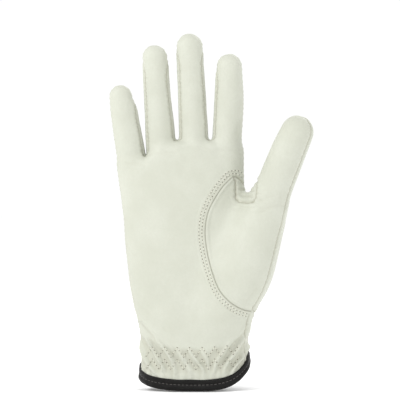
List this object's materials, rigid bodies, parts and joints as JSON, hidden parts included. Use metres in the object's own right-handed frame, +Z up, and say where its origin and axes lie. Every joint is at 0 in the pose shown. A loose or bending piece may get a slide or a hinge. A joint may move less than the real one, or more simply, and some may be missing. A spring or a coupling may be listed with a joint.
{
  "type": "golf glove",
  "caption": "Right-hand leather golf glove with separate finger, thumb and back pieces, shirred elastic wrist, bound hem and a hook-and-loop closure tab.",
  "frame": {"origin": "centre of the cuff opening, level with the lowest point of the hem on the palm side", "axes": "+Z up along the fingers, -Y out of the palm, +X towards the thumb"},
  "size_m": [0.1346, 0.0583, 0.2359],
  "materials": {
    "leather": "soft matt sheepskin with a faint sheen",
    "binding": "folded black tape",
    "elastic": "woven elastic",
    "thread": "polyester thread",
    "fastener": "hook and loop tape"
  },
  "bodies": {
    "hand": {"palm_panel": "leather", "back_panel": "leather", "thumb_inset_front": "leather", "thumb_inset_back": "leather", "thumb_gusset": "leather", "little_ring_web": "leather", "ring_middle_web": "leather", "middle_index_web": "leather", "wrist_elastic": "elastic", "hem_binding": "binding", "slit_binding": "binding", "loop_patch": "fastener", "closure_tab_anchor": "leather", "thumb_topstitch_1": "thread", "thumb_topstitch_2": "thread", "zigzag_stitch_lower": "thread", "zigzag_stitch_upper": "thread"},
    "little_lower": {"little_lower_front": "leather", "little_lower_back": "leather", "little_lower_fourchette_right": "leather"},
    "little_upper": {"little_upper_front": "leather", "little_upper_back": "leather", "little_upper_fourchette_right": "leather"},
    "ring_lower": {"ring_lower_front": "leather", "ring_lower_back": "leather", "ring_lower_fourchette_left": "leather", "ring_lower_fourchette_right": "leather"},
    "ring_upper": {"ring_upper_front": "leather", "ring_upper_back": "leather", "ring_upper_fourchette_left": "leather", "ring_upper_fourchette_right": "leather"},
    "middle_lower": {"middle_lower_front": "leather", "middle_lower_back": "leather", "middle_lower_fourchette_left": "leather", "middle_lower_fourchette_right": "leather"},
    "middle_upper": {"middle_upper_front": "leather", "middle_upper_back": "leather", "middle_upper_fourchette_left": "leather", "middle_upper_fourchette_right": "leather"},
    "index_lower": {"index_lower_front": "leather", "index_lower_back": "leather", "index_lower_fourchette_left": "leather"},
    "index_upper": {"index_upper_front": "leather", "index_upper_back": "leather", "index_upper_fourchette_left": "leather"},
    "thumb_lower": {"thumb_lower_front": "leather", "thumb_lower_back": "leather"},
    "thumb_upper": {"thumb_upper_front": "leather", "thumb_upper_back": "leather"},
    "tab": {"closure_tab": "leather", "hook_patch": "fastener"}
  },
  "joints": [
    {"name": "little_base_bend", "type": "hinge", "parent": "hand", "child": "little_lower", "pos_m": [-0.0439, -0.00744, 0.16238], "axis": [0.9884, -0.013, 0.1514], "range_deg": [-10, 60], "stiffness_Nm_per_rad": 0.02},
    {"name": "little_middle_bend", "type": "hinge", "parent": "little_lower", "child": "little_upper", "pos_m": [-0.0466, -0.00847, 0.1796], "axis": [0.9894, -0.0192, 0.144], "range_deg": [0, 70], "stiffness_Nm_per_rad": 0.015},
    {"name": "ring_base_bend", "type": "hinge", "parent": "hand", "child": "ring_lower", "pos_m": [-0.0235, -0.00762, 0.17347], "axis": [0.9968, -0.0057, 0.0803], "range_deg": [-10, 60], "stiffness_Nm_per_rad": 0.02},
    {"name": "ring_middle_bend", "type": "hinge", "parent": "ring_lower", "child": "ring_upper", "pos_m": [-0.0252, -0.0084, 0.19426], "axis": [0.9983, -0.0065, 0.0587], "range_deg": [0, 70], "stiffness_Nm_per_rad": 0.015},
    {"name": "middle_base_bend", "type": "hinge", "parent": "hand", "child": "middle_lower", "pos_m": [-0.0011, -0.00763, 0.17354], "axis": [0.999, -0.0029, 0.0456], "range_deg": [-10, 60], "stiffness_Nm_per_rad": 0.02},
    {"name": "middle_middle_bend", "type": "hinge", "parent": "middle_lower", "child": "middle_upper", "pos_m": [-0.0022, -0.00866, 0.19722], "axis": [0.9989, -0.0053, 0.0471], "range_deg": [0, 70], "stiffness_Nm_per_rad": 0.015},
    {"name": "index_base_bend", "type": "hinge", "parent": "hand", "child": "index_lower", "pos_m": [0.0218, -0.0078, 0.17346], "axis": [0.9993, 0.0027, -0.0379], "range_deg": [-10, 60], "stiffness_Nm_per_rad": 0.02},
    {"name": "index_middle_bend", "type": "hinge", "parent": "index_lower", "child": "index_upper", "pos_m": [0.0226, -0.00898, 0.19394], "axis": [0.9999, 0.0015, -0.0102], "range_deg": [0, 70], "stiffness_Nm_per_rad": 0.015},
    {"name": "thumb_base_bend", "type": "hinge", "parent": "hand", "child": "thumb_lower", "pos_m": [0.051, -0.02522, 0.12922], "axis": [0.9331, 0.0616, -0.3544], "range_deg": [0, 35], "stiffness_Nm_per_rad": 0.02},
    {"name": "thumb_tip_bend", "type": "hinge", "parent": "thumb_lower", "child": "thumb_upper", "pos_m": [0.06, -0.02874, 0.15224], "axis": [0.9197, 0.0698, -0.3863], "range_deg": [0, 50], "stiffness_Nm_per_rad": 0.015},
    {"name": "closure_tab_lift", "type": "hinge", "parent": "hand", "child": "tab", "pos_m": [0.017, 0.02369, 0.04428], "axis": [0, 0.0906, -0.9959], "range_deg": [0, 150]}
  ]
}
